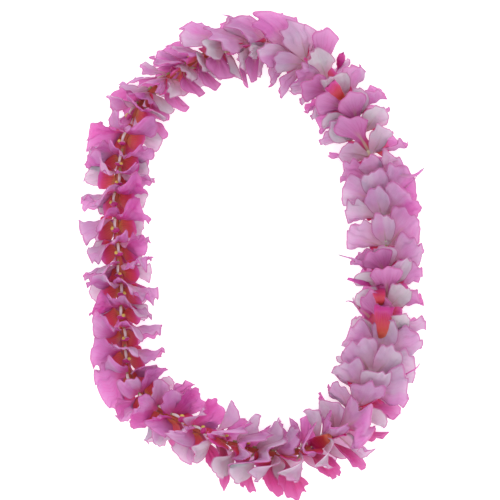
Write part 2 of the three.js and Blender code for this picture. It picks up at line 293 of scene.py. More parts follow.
def onBlade(bloom, k, x, z):  # a blade's middle surface: x across and z from root to tip, in the unit disc
    blade = blades[k]
    i, slot = bloom["i"], 10 + 10 * k
    a = (z + 1) / 2
    grown = {key: smooth(a, *reach) for key, reach in comesIn.items()}
    theta, rim = np.arctan2(x, z), np.hypot(x, z)
    nicks = np.sin(rimWaves["notches"] * theta + 9 * draw(i, slot + 9))
    nicks = nicks + rimWaves["nickDepth"] * np.sin(rimWaves["nicks"] * theta + 5 * draw(i, slot + 9))
    nicks = nicks + rimWaves["tearDepth"] * np.sin(rimWaves["tears"] * theta + 7 * draw(i, slot + 6))
    shingle = garland["shingleNotch"]
    ragged = 1 if k >= lipBlade else shingle + (1 - shingle) * bloom["crush"]
    depth = ragged * blade["notch"] * (1 + bladeSpread["notch"] * draw(i, slot + 7))
    grow = depth * nicks * rim ** rimPower["notch"] * grown["notch"]
    shape = blade["waist"] + a * (blade["belly"] + a * blade["tip"])
    length = blade["length"] * (1 + bladeSpread["length"] * draw(i, slot)) * bloom["size"]
    width = blade["width"] * (1 + bladeSpread["width"] * draw(i, slot + 1)) * bloom["size"]
    middle = np.exp(-((x / lineWidths["point"]) ** 2))
    further = ragged * blade["point"] * draw(i, slot + 6) * middle * grown["point"]
    pleat = blade["pleat"]
    crush = bloom["crush"] * max(0, draw(i, slot + 8)) * (k < lipBlade)  # crushed into a narrower gutter
    if k == lipBlade:
        end = smooth(a, fan["from"], fan["to"])
        grow = grow * (1 + fan["hangingNotch"] * bloom["hang"])
        shape = shape + fan["width"] * (1 - fan["hangingWidth"] * bloom["hang"]) * end
        further = fan["bulge"] * end * np.exp(-((x / fan["bulgeWidth"]) ** 2))
        pleat = pleat * (1 + fan["hangingPleat"] * bloom["hang"])
    run = (a * (1 + rimWaves["notchAlong"] * grow) + further) ** blade["drop"]
    far = bladeRoot * bloom["size"] + length * run
    side = x * (1 + grow) * width * shape * 0.5 * (1 - garland["crushWidth"] * crush)
    ripple = np.sin(rimWaves["ripple"] * theta + math.pi * draw(i, slot + 2))
    ripple = rim ** rimPower["ripple"] * ripple * grown["ripple"]
    frill = np.sin(rimWaves["frill"] * theta + 9 * draw(i, slot + 6))
    frill = rim ** rimPower["frill"] * frill * grown["frill"]
    fold = blade["cup"] + blade["fold"] * draw(i, slot + 8) + garland["crushFold"] * crush
    bow = fold * x * x + blade["wave"] * ripple + blade["frill"] * frill
    dented = np.prod([np.sin(m * x + n * z + 9 * draw(i, slot + own)) for m, n, own in dents], axis=0)
    bow = bow + blade["crumple"] * dented * grown["crumple"]
    bow = bow + pleat * np.cos(blade["pleats"] * math.pi * x + 2 * draw(i, slot + 7)) * grown["pleat"]
    groove = blade["groove"] * np.exp(-((x / lineWidths["groove"]) ** 2))
    bow = bow - groove * grown["groove"] * (1 - grown["grooveEnd"])
    lean = math.sin(math.radians(blade["lean"] * draw(i, slot + 5))) * side
    curl = blade["curl"] * draw(i, slot + 4) * a * a
    mouth = blade["reach"] * (1 - np.exp(-a / lipTurn))
    turn = math.radians(blade["turn"])
    sideways = side * math.cos(turn) - bow * math.sin(turn)
    forward = blade["lift"] + blade["rise"] * a + mouth + lean + curl
    forward = forward + side * math.sin(turn) + bow * math.cos(turn)
    angle = math.radians(blade["angle"] + bladeSpread["angle"] * draw(i, slot + 3))
    across = far * math.sin(angle) + sideways * math.cos(angle)
    back = far * math.cos(angle) - sideways * math.sin(angle)
    return inBloom(bloom, across, forward, back, blade["rooms"])


# the heart of a bloom: across, along the string and towards the back sepal
column = {"start": 0.0008, "end": 0.0098, "back": 0.0036, "arch": 0.0014, "radius": 0.0011, "tip": 0.8,
          "belly": 0.3, "flat": 0.85, "archEnd": 0.8, "sides": 14, "cuts": 6}
anther = {"size": (0.0040, 0.0029, 0.0023), "aside": 0, "forward": 0.0114, "back": 0.0042, "beak": 0.35,
          "segments": 16, "rings": 10}  # the cap on the column's tip
pollen = {"size": (0.0016, 0.0020, 0.0014), "aside": 0.0023, "forward": 0.0100, "back": 0.0058, "beak": 0,
          "segments": 12, "rings": 8}
spur = {"start": 0.001, "length": 0.0065, "back": -0.0034, "drop": 0.0035, "radius": 0.0022, "tip": 0.3,
        "sides": 14, "cuts": 4}
stalk = {"start": 0.0, "length": 0.0042, "back": 0.0031, "drop": 0, "radius": 0.0013, "tip": 0.8,
         "sides": 10, "cuts": 2}  # cut short
seat = {"sides": 16, "profile": [(0.0012, -0.0088), (0.0017, -0.0084), (0.0021, -0.005), (0.0028, -0.0012),
                                 (0.0023, 0.001), (0.0018, 0.003), (0.0016, 0.008), (0.0010, 0.0114)]}
heartRooms = (0.0150, 0.0110)
crispAngle = 1  # edges sharper than this, in radians, stay crisp
parts = {"column": 9, "anther": 10, "pollen": 11, "spur": 12, "seat": 13, "stalk": 14}  # blades are 1 to 8
finishes = ["petalFront", "petalBack", "lipFront", "lipBack", "lobeFront", "lobeBack", "column", "anther",
            "pollen", "spur", "throat", "stalk"]


def shadeSmooth(bm):
    for face in bm.faces:
        face.smooth = True
    for edge in bm.edges:
        edge.smooth = abs(edge.calc_face_angle(0)) < crispAngle


def addPeg(bm, shape, radius1, radius2):  # an upright cone cut across its length
    verts = bmesh.ops.create_cone(bm, cap_ends=True, segments=shape["sides"], radius1=radius1,
                                  radius2=radius2, depth=1)["verts"]
    edges = dict.fromkeys(edge for vert in verts for edge in vert.link_edges)
    upright = [edge for edge in edges if abs(edge.verts[0].co.z - edge.verts[1].co.z) > 0.5]
    bmesh.ops.subdivide_edges(bm, edges=upright, cuts=shape["cuts"])


def buildTemplate():  # one bloom with its blades as unit discs, whose points are moved for each bloom
    bm = bmesh.new()
    partLayer = bm.verts.layers.int.new("part")

    def fresh():  # the points that no part has yet
        return [vert for vert in bm.verts if vert[partLayer] == 0]

    def mark(part, finish):
        made = fresh()
        for face in {face for vert in made for face in vert.link_faces}:
            face.material_index = finishes.index(finish)
        for vert in made:
            vert[partLayer] = part

    for k, blade in enumerate(blades):
        family = "lip" if k == lipBlade else "lobe" if k in lobeBlades else "petal"
        cells = blade["cells"]
        rear = bmesh.ops.create_grid(bm, x_segments=cells, y_segments=cells, size=1)["verts"]
        for vert in rear:  # a square grid drawn into a disc
            u, v = vert.co.x, vert.co.y
            vert.co = (u * math.sqrt(1 - v * v / 2), v * math.sqrt(1 - u * u / 2), -0.5)
        faces = list({face for vert in rear for face in vert.link_faces})
        raised = bmesh.ops.extrude_face_region(bm, geom=faces, use_keep_orig=True)["geom"]
        front = [item for item in raised if isinstance(item, bmesh.types.BMVert)]
        bmesh.ops.translate(bm, vec=(0, 0, 1), verts=front)
        mark(k + 1, family + "Front")
        for face in bm.faces:
            if all(vert[partLayer] == k + 1 and vert.co.z < 0 for vert in face.verts):
                face.material_index = finishes.index(family + "Back")
    plates = list(bm.faces)
    bmesh.ops.recalc_face_normals(bm, faces=plates)
    bmesh.ops.reverse_faces(bm, faces=plates)  # a blade's place mirrors it

    addPeg(bm, column, 1, column["tip"])
    for vert in fresh():
        t = vert.co.z + 0.5
        r = column["radius"] * (1 + column["belly"] * math.sin(math.pi * t))
        arch = column["arch"] * math.sin(column["archEnd"] * math.pi * t)
        vert.co = (vert.co.x * r, column["start"] + (column["end"] - column["start"]) * t,
                   column["back"] + arch + vert.co.y * r * column["flat"])
    mark(parts["column"], "column")

    for name, ball in {"anther": anther, "pollen": pollen}.items():
        segments, rings = ball["segments"], ball["rings"]
        bmesh.ops.create_uvsphere(bm, u_segments=segments, v_segments=rings, radius=1)
        across, along, back = ball["size"]
        for vert in fresh():
            beak = 1 + ball["beak"] * max(0, vert.co.y) ** 2  # drawn out in front
            vert.co = (ball["aside"] + vert.co.x * across, ball["forward"] + vert.co.y * along * beak,
                       ball["back"] + vert.co.z * back)
        mark(parts[name], name)

    for name, tail in {"spur": spur, "stalk": stalk}.items():
        addPeg(bm, tail, tail["tip"], 1)
        for vert in fresh():
            t = 0.5 - vert.co.z
            vert.co = (vert.co.x * tail["radius"], tail["start"] - tail["length"] * t,
                       tail["back"] - tail["drop"] * t * t + vert.co.y * tail["radius"])
        mark(parts[name], name)

    ring = [bm.verts.new((r, y, 0)) for r, y in seat["profile"]]
    outline = [bm.edges.new((ring[n], ring[n - 1])) for n in range(len(ring))]
    bmesh.ops.spin(bm, geom=ring + outline, cent=(0, 0, 0), axis=(0, 1, 0), dvec=(0, 0, 0),
                   angle=math.tau, steps=seat["sides"], use_merge=True)
    mark(parts["seat"], "throat")
    heart = [face for face in bm.faces if face.verts[0][partLayer] >= parts["column"]]
    bmesh.ops.recalc_face_normals(bm, faces=heart)
    shadeSmooth(bm)
    mesh = bpy.data.meshes.new("bloomTemplate")
    bm.to_mesh(mesh)
    bm.free()
    return mesh


def readVerts(mesh):
    points = np.empty(len(mesh.vertices) * 3)
    mesh.vertices.foreach_get("co", points)
    part = np.empty(len(mesh.vertices), dtype=np.int32)
    mesh.attributes["part"].data.foreach_get("value", part)
    return points.reshape(-1, 3), part


def shapeBloom(bloom, points, part):
    placed = np.zeros_like(points)
    leaf = np.zeros_like(points)  # across, along and tone, for the materials
    i, step = bloom["i"], bladeFlesh["slopeStep"]
    for k, blade in enumerate(blades):
        own = part == k + 1
        x, z, y = points[own].T
        middle = onBlade(bloom, k, x, z)
        acrossBlade = onBlade(bloom, k, x + step, z) - middle
        alongBlade = onBlade(bloom, k, x, z + step) - middle
        normal = np.cross(alongBlade, acrossBlade)
        normal /= np.linalg.norm(normal, axis=1, keepdims=True)
        thickness = bladeFlesh["thickness"] * np.minimum(1, bladeFlesh["rootThinning"] * (z + 1))
        thickness = thickness * (1 - bladeFlesh["rimThinning"] * np.hypot(x, z) ** 4)
        placed[own] = middle + normal * (y * thickness)[:, None]
        along = (z + 1) / 2
        tone = bloom["lipTone"] if k == lipBlade else blade["tone"] + blade["flush"] * bloom["crush"]
        tone = tone + toneSpread["blade"] * draw(i, 17 + 10 * k)
        tone = tone + toneSpread["halves"] * draw(i, 11 + 10 * k) * np.tanh(toneSpread["halfEdge"] * x)
        tone = tone + toneSpread["along"] * draw(i, 12 + 10 * k) * (along - 0.5)
        leaf[own] = np.stack([x, along, tone], 1)
    pollenSide = 1 if draw(i, 6) > 0 else -1
    for number in parts.values():
        own = part == number
        across, forward, back = points[own].T
        if number == parts["pollen"]:
            across = across + (pollenSide - 1) * pollen["aside"]
        placed[own] = inBloom(bloom, across, forward, back, heartRooms)
        leaf[own] = points[own] * 100  # in centimetres
    return placed, leaf


def srgb(*colour):  # a colour given as on a screen, 0 to 255
    return tuple(c / 3294 if c < 10.3 else ((c / 255 + 0.055) / 1.055) ** 2.4 for c in colour) + (1,)


def addNode(tree, kind, inputs=None, **settings):
    made = tree.nodes.new(kind)
    for key, value in settings.items():
        setattr(made, key, value)
    for key, value in (inputs or {}).items():
        if isinstance(value, bpy.types.NodeSocket):
            tree.links.new(value, made.inputs[key])
        else:
            made.inputs[key].default_value = value
    return made


def calc(tree, operation, *values):
    return addNode(tree, "ShaderNodeMath", dict(enumerate(values)), operation=operation).outputs[0]


def times(tree, *values):
    return calc(tree, "MULTIPLY", *values)


def plus(tree, *values):
    return calc(tree, "ADD", *values)


def span(tree, value, low, high):  # eased from 0 at low to 1 at high
    inputs = {"Value": value, "From Min": low, "From Max": high}
    return addNode(tree, "ShaderNodeMapRange", inputs, interpolation_type="SMOOTHSTEP").outputs["Result"]


def tint(tree, colour, other, mask, strength):  # another colour where the mask is
    inputs = {"Factor": times(tree, mask, strength), "A": colour, "B": srgb(*other)}
    return addNode(tree, "ShaderNodeMix", inputs, data_type="RGBA").outputs["Result"]


def rampColour(tree, factor, stops):
    ramp = addNode(tree, "ShaderNodeValToRGB", {0: factor})
    while len(ramp.color_ramp.elements) < len(stops):
        ramp.color_ramp.elements.new(0.5)
    for element, (at, colour) in zip(ramp.color_ramp.elements, stops):
        element.position = at
        element.color = srgb(*colour)
    return ramp.outputs[0]


def newGroup(name, inputs, output):
    group = bpy.data.node_groups.new(name, "ShaderNodeTree")
    for label, value in inputs.items():
        socket = group.interface.new_socket(label, in_out="INPUT", socket_type="NodeSocketFloat")
        socket.default_value = value
    group.interface.new_socket(output, in_out="OUTPUT", socket_type="NodeSocketFloat")
    return group, addNode(group, "NodeGroupInput").outputs, addNode(group, "NodeGroupOutput").inputs[output]


def objectNoise(tree, scale, detail=2):  # from minus to plus a half
    coords = addNode(tree, "ShaderNodeTexCoord").outputs["Object"]
    inputs = {"Vector": coords, "Scale": scale, "Detail": detail}
    return calc(tree, "SUBTRACT", addNode(tree, "ShaderNodeTexNoise", inputs).outputs["Fac"], 0.5)


leafMarks = {  # what the petals and the lips share: strays of their veins, and where veins and rims fade
    "strayScale": 190, "stray": 0.09, "rootFade": (0, 0.15), "tipFade": (1, 0.75), "rimFade": (0.08, 0.3),
}


def makeVeins():  # lines that run from a blade's root and meet again at its tip
    group, given, result = newGroup("veins", {"Across": 0, "Along": 0, "Count": 7, "Width": 0.3}, "Lines")
    stray = times(group, objectNoise(group, leafMarks["strayScale"]), leafMarks["stray"])
    phase = times(group, plus(group, given["Across"], stray), times(group, given["Count"], math.pi))
    line = span(group, calc(group, "ABSOLUTE", calc(group, "SINE", phase)), given["Width"], 0)
    root, tip = (span(group, given["Along"], *leafMarks[end]) for end in ("rootFade", "tipFade"))
    group.links.new(times(group, line, times(group, root, tip)), result)
    return group


def makeRim():  # a band along a blade's edge, fading at the root
    group, given, result = newGroup("rim", {"Across": 0, "Along": 0, "Width": 0.05}, "Band")
    x, z = given["Across"], calc(group, "MULTIPLY_ADD", given["Along"], 2, -1)
    outward = calc(group, "SQRT", plus(group, times(group, x, x), times(group, z, z)))
    band = span(group, outward, calc(group, "SUBTRACT", 1, given["Width"]), 1)
    group.links.new(times(group, band, span(group, given["Along"], *leafMarks["rimFade"])), result)
    return group


def makeMottle():  # soft clouds, from minus to plus half the contrast
    group, given, result = newGroup("mottle", {"Scale": 60, "Contrast": 0.3}, "Clouds")
    clouds = objectNoise(group, given["Scale"], detail=3)
    group.links.new(times(group, clouds, given["Contrast"]), result)
    return group


def makeGrain():  # the fine velvet of a petal's skin, as a height
    group, given, result = newGroup("grain", {"Scale": 1600, "Height": 0.3}, "Height")
    coords = addNode(group, "ShaderNodeTexCoord").outputs["Object"]
    cells = addNode(group, "ShaderNodeTexVoronoi", {"Vector": coords, "Scale": given["Scale"]})
    group.links.new(times(group, cells.outputs["Distance"], given["Height"]), result)
    return group


groups = {"veins": makeVeins(), "rim": makeRim(), "mottle": makeMottle(), "grain": makeGrain()}


def useGroup(tree, name, **inputs):
    return addNode(tree, "ShaderNodeGroup", inputs, node_tree=groups[name]).outputs[0]


# how much of the light runs on inside, and how far
flesh = {"petals": 0.65, "lips": 0.4, "hearts": 0.15, "radius": (0.006, 0.003, 0.004)}


def newMaterial(name, roughness, inside=0.0):
    material = bpy.data.materials.new(name)
    material.use_nodes = True
    tree = material.node_tree
    shader = tree.nodes["Principled BSDF"]
    shader.inputs["Roughness"].default_value = roughness
    shader.inputs["Subsurface Weight"].default_value = inside
    shader.inputs["Subsurface Radius"].default_value = flesh["radius"]
    shader.inputs["Subsurface Scale"].default_value = 1.0
    return material, tree, shader


def readLeaf(tree):
    leaf = addNode(tree, "ShaderNodeAttribute", attribute_name="leaf").outputs["Vector"]
    split = addNode(tree, "ShaderNodeSeparateXYZ", {0: leaf})
    return split.outputs["X"], split.outputs["Y"], split.outputs["Z"]


def addBump(tree, shader, height, distance):
    bump = addNode(tree, "ShaderNodeBump", {"Height": height, "Strength": 1.0, "Distance": distance})
    tree.links.new(bump.outputs["Normal"], shader.inputs["Normal"])


petalLooks = {
    "petalFront": {
        "tones": [(0.0, (208, 184, 206)), (0.3, (206, 154, 200)), (0.6, (204, 114, 184)),
                  (1.0, (208, 62, 158))],
        # the rim colours of fronts and backs: partly the petals' real darker edges, partly a painted shadow
        # line where one petal overlaps another
        "root": (226, 56, 132), "rootReach": 0.5, "rim": (176, 54, 132), "veins": 0.15, "keel": 0.0,
        "rough": 0.5,
    },
    "petalBack": {
        "tones": [(0.0, (212, 194, 212)), (0.4, (207, 168, 204)), (0.7, (204, 138, 192)),
                  (1.0, (204, 98, 176))],
        # the backs' root colour: partly their paler base, partly painted light that lifts and warms the shade
        # in the crevices between shingled petals
        "root": (250, 180, 212), "rootReach": 0.65, "rim": (172, 62, 132), "veins": 0.12, "keel": 0.5,
        "rough": 0.6,
    },
}
petalSkin = {
    "veinCount": 9.0, "veinWidth": 0.35, "cloudScale": 70.0, "cloudContrast": 0.5,
    "inner": (0.75, 0.2),  # towards the root from here the colour deepens, and the keel shows
    "innerDepth": 0.06, "rootCloud": 0.3, "rootEnd": 0.05, "rootStrength": 0.8,
    "keelAcross": (0.09, 0.01), "keelColour": (184, 144, 116),
    # the rim line's width and strength: partly a real darker edge, partly a painted shadow line along
    # overlapping petals
    "rimWidth": 0.12, "rimStrength": 0.85, "grainScale": 1500.0, "grainHeight": 0.25, "relief": 0.00012,
}


def petalMaterial(name):  # front and back of the petals and sepals
    look, skin = petalLooks[name], petalSkin
    material, tree, shader = newMaterial(name, look["rough"], flesh["petals"])
    across, along, tone = readLeaf(tree)
    veins = useGroup(tree, "veins", Across=across, Along=along, Count=skin["veinCount"],
                     Width=skin["veinWidth"])
    rim = useGroup(tree, "rim", Across=across, Along=along, Width=skin["rimWidth"])
    clouds = useGroup(tree, "mottle", Scale=skin["cloudScale"], Contrast=skin["cloudContrast"])
    depth = plus(tree, plus(tree, tone, clouds), times(tree, veins, look["veins"]))
    inner = span(tree, along, *skin["inner"])
    depth = plus(tree, depth, times(tree, inner, skin["innerDepth"]))
    colour = rampColour(tree, depth, look["tones"])
    uneven = plus(tree, along, times(tree, clouds, skin["rootCloud"]))
    near = span(tree, uneven, look["rootReach"], skin["rootEnd"])
    # the root colour; on the backs it is partly painted light in the crevices between shingled petals
    colour = tint(tree, colour, look["root"], near, skin["rootStrength"])
    if look["keel"]:  # a tan line up the middle of a petal's back
        middle = span(tree, calc(tree, "ABSOLUTE", across), *skin["keelAcross"])
        colour = tint(tree, colour, skin["keelColour"], times(tree, middle, inner), look["keel"])
    # the rim band: partly a real darker edge, partly a painted shadow line along overlapping petals
    colour = tint(tree, colour, look["rim"], rim, skin["rimStrength"])
    tree.links.new(colour, shader.inputs["Base Color"])
    grain = useGroup(tree, "grain", Scale=skin["grainScale"], Height=skin["grainHeight"])
    addBump(tree, shader, calc(tree, "SUBTRACT", grain, veins), skin["relief"])
    return material


lipLooks = {
    "lipFront": {
        "along": [(0.0, (226, 140, 76)), (0.14, (226, 98, 66)), (0.34, (222, 54, 68)), (0.5, (226, 52, 114)),
                  (0.68, (222, 86, 164)), (1.0, (220, 124, 192))],
        "stripe": (166, 36, 56), "stripes": 0.6, "stripeReach": 0.7, "rim": (204, 56, 146), "rough": 0.45,
        "keel": 0.0,
    },
    "lipBack": {
        "along": [(0.0, (214, 130, 74)), (0.13, (208, 84, 60)), (0.22, (208, 46, 80)), (0.36, (210, 60, 136)),
                  (0.5, (210, 98, 172)), (1.0, (214, 132, 192))],
        "stripe": (184, 58, 120), "stripes": 0.5, "stripeReach": 1.3, "rim": (192, 54, 142), "rough": 0.5,
        "keel": 0.8,
    },
    "lobeFront": {
        "along": [(0.0, (230, 134, 76)), (0.2, (230, 80, 64)), (0.5, (226, 50, 70)), (0.72, (228, 46, 106)),
                  (0.93, (232, 68, 168))],
        "stripe": (170, 34, 54), "stripes": 0.5, "stripeReach": 1.1, "rim": (226, 64, 164), "rough": 0.42,
        "keel": 0.0,
    },
    "lobeBack": {
        "along": [(0.0, (230, 144, 100)), (0.25, (228, 82, 82)), (0.6, (224, 56, 106)),
                  (0.85, (226, 66, 152)), (1.0, (226, 90, 172))],
        "stripe": (184, 52, 72), "stripes": 0.3, "stripeReach": 0.8, "rim": (222, 68, 162), "rough": 0.45,
        "keel": 0.0,
    },
    "funnel": {
        "along": [(0.25, (196, 150, 104)), (0.34, (200, 98, 66)), (0.5, (198, 54, 56)), (0.72, (202, 44, 96)),
                  (0.92, (212, 70, 158))],
        "stripe": (206, 122, 84), "stripes": 0.7, "stripeReach": 1.2, "rim": (206, 56, 146), "rough": 0.45,
        "keel": 0.0,
    },
}
lipSkin = {
    "cloudScale": 150.0, "cloudContrast": 0.22, "evenTone": 0.6, "toneShift": 0.35,
    "stripeCount": 6.0, "stripeWidth": 0.5, "stripeFrom": 0.1,
    "keelAcross": (0.34, 0.08), "keelAlong": (0.7, 0.34), "keelColour": (206, 176, 158),
    "deepTones": (0.85, 1.1), "deepStrength": 0.65, "deepColour": (198, 46, 138),  # where the lips hang
    "rimWidth": 0.1, "rimStrength": 0.7, "grainScale": 1300.0, "grainHeight": 0.3, "relief": 0.00015,
}


def lipMaterial(name):  # the lip and its side lobes: orange throat, crimson and then pink, with dark stripes
    look, skin = lipLooks[name], lipSkin
    material, tree, shader = newMaterial(name, look["rough"], flesh["lips"])
    across, along, tone = readLeaf(tree)
    clouds = useGroup(tree, "mottle", Scale=skin["cloudScale"], Contrast=skin["cloudContrast"])
    shift = times(tree, calc(tree, "SUBTRACT", skin["evenTone"], tone), skin["toneShift"])
    colour = rampColour(tree, plus(tree, plus(tree, along, clouds), shift), look["along"])
    stripes = useGroup(tree, "veins", Across=across, Along=along, Count=skin["stripeCount"],
                       Width=skin["stripeWidth"])
    reach = span(tree, along, look["stripeReach"], skin["stripeFrom"])
    colour = tint(tree, colour, look["stripe"], times(tree, stripes, reach), look["stripes"])
    if look["keel"]:  # a pale olive ridge up the middle of the lip's back
        middle = span(tree, calc(tree, "ABSOLUTE", across), *skin["keelAcross"])
        ridge = times(tree, middle, span(tree, along, *skin["keelAlong"]))
        colour = tint(tree, colour, skin["keelColour"], ridge, look["keel"])
    deep = span(tree, tone, *skin["deepTones"])
    colour = tint(tree, colour, skin["deepColour"], deep, skin["deepStrength"])
    rim = useGroup(tree, "rim", Across=across, Along=along, Width=skin["rimWidth"])
    colour = tint(tree, colour, look["rim"], rim, skin["rimStrength"])
    tree.links.new(colour, shader.inputs["Base Color"])
    grain = useGroup(tree, "grain", Scale=skin["grainScale"], Height=skin["grainHeight"])
    addBump(tree, shader, calc(tree, "SUBTRACT", grain, stripes), skin["relief"])
    return material


heartLooks = {  # the coordinate is in centimetres, along the string or towards the back sepal
    "column": {"axis": 1, "stops": [(0.0, (228, 214, 190)), (0.5, (244, 232, 230)), (0.8, (238, 214, 228)),
                                    (0.98, (210, 84, 164))], "rough": 0.4, "scale": 260.0},
    "anther": {"axis": 1, "stops": [(0.94, (240, 212, 226)), (1.04, (232, 150, 200)), (1.12, (222, 70, 164)),
                                    (1.4, (206, 46, 140))], "rough": 0.35, "scale": 300.0},
    "pollen": {"axis": 2, "stops": [(0.34, (226, 176, 30)), (0.5, (244, 208, 56)), (0.58, (248, 224, 110))],
               "rough": 0.4, "scale": 700.0},
    "throat": {"axis": 1, "stops": [(0.0, (206, 84, 66)), (0.4, (200, 88, 62)), (0.9, (202, 96, 76))],
               "rough": 0.5, "scale": 240.0},
    "stalk": {"axis": 1, "stops": [(0.0, (176, 168, 118)), (0.3, (168, 146, 98)), (0.44, (140, 106, 74))],
              "rough": 0.5, "scale": 320.0},
    "spur": {"axis": 1, "stops": [(0.0, (214, 196, 168)), (0.3, (206, 176, 150)), (0.6, (196, 150, 140))],
             "rough": 0.5, "scale": 220.0},
}
heartSkin = {"cloudContrast": 0.12, "grainScale": 2200.0, "grainHeight": 1.0, "relief": 0.00012}


def heartMaterial(name):
    look, skin = heartLooks[name], heartSkin
    material, tree, shader = newMaterial(name, look["rough"], flesh["hearts"])
    coordinate = readLeaf(tree)[look["axis"]]
    clouds = useGroup(tree, "mottle", Scale=look["scale"], Contrast=skin["cloudContrast"])
    distance = plus(tree, calc(tree, "ABSOLUTE", coordinate), clouds)
    tree.links.new(rampColour(tree, distance, look["stops"]), shader.inputs["Base Color"])
    grain = useGroup(tree, "grain", Scale=skin["grainScale"], Height=skin["grainHeight"])
    addBump(tree, shader, grain, skin["relief"])
    return material


fibre = {"slant": 3, "perMetre": 900, "drawn": 60, "scale": 2.0, "detail": 3.0, "rough": 0.9,
         "relief": 0.0001, "tones": [(0.3, (206, 196, 180)), (0.5, (236, 230, 218)), (0.7, (250, 246, 238))]}


def cottonMaterial():  # the string's spun fibres, which run slantwise round each strand
    material, tree, shader = newMaterial("cotton", fibre["rough"])
    turn, along, strand = readLeaf(tree)
    slant = plus(tree, times(tree, turn, fibre["slant"]), times(tree, along, fibre["perMetre"]))
    drawn = times(tree, along, fibre["drawn"])
    spun = addNode(tree, "ShaderNodeCombineXYZ", {0: slant, 1: drawn, 2: strand}).outputs[0]
    inputs = {"Vector": spun, "Scale": fibre["scale"], "Detail": fibre["detail"]}
    threads = addNode(tree, "ShaderNodeTexNoise", inputs).outputs["Fac"]
    tree.links.new(rampColour(tree, threads, fibre["tones"]), shader.inputs["Base Color"])
    addBump(tree, shader, threads, fibre["relief"])
    return material


materials = {name: petalMaterial(name) for name in petalLooks}
materials.update({name: lipMaterial(name) for name in lipLooks})
materials.update({name: heartMaterial(name) for name in heartLooks})
materials["cotton"] = cottonMaterial()
print("materials mixed:", len(materials))


def addMesh(name, bm, material):
    mesh = bpy.data.meshes.new(name)
    bm.to_mesh(mesh)
    bm.free()
    mesh.materials.append(material)
    piece = bpy.data.objects.new(name, mesh)
    scene.collection.objects.link(piece)
    return piece


def addBlooms():
    template = buildTemplate()
    points, part = readVerts(template)
    for bloom in blooms:
        number = f"{bloom['i'] + 1:02d}"
        mesh = template.copy()
        mesh.name = f"orchidFlesh_{number}"
        placed, leaf = shapeBloom(bloom, points, part)
        mesh.vertices.foreach_set("co", placed.ravel())
        mesh.attributes.new("leaf", "FLOAT_VECTOR", "POINT").data.foreach_set("vector", leaf.ravel())
        mesh.attributes.remove(mesh.attributes["part"])
        for finish in finishes:
            mesh.materials.append(materials[finish])
        mesh.update()
        piece = bpy.data.objects.new(f"orchid_{number}", mesh)
        scene.collection.objects.link(piece)
        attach(piece, "root")
        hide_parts(f"bloom_{number}")
    print("faces in a bloom:", len(template.polygons))
    bpy.data.meshes.remove(template)


addBlooms()
print("blooms grown")

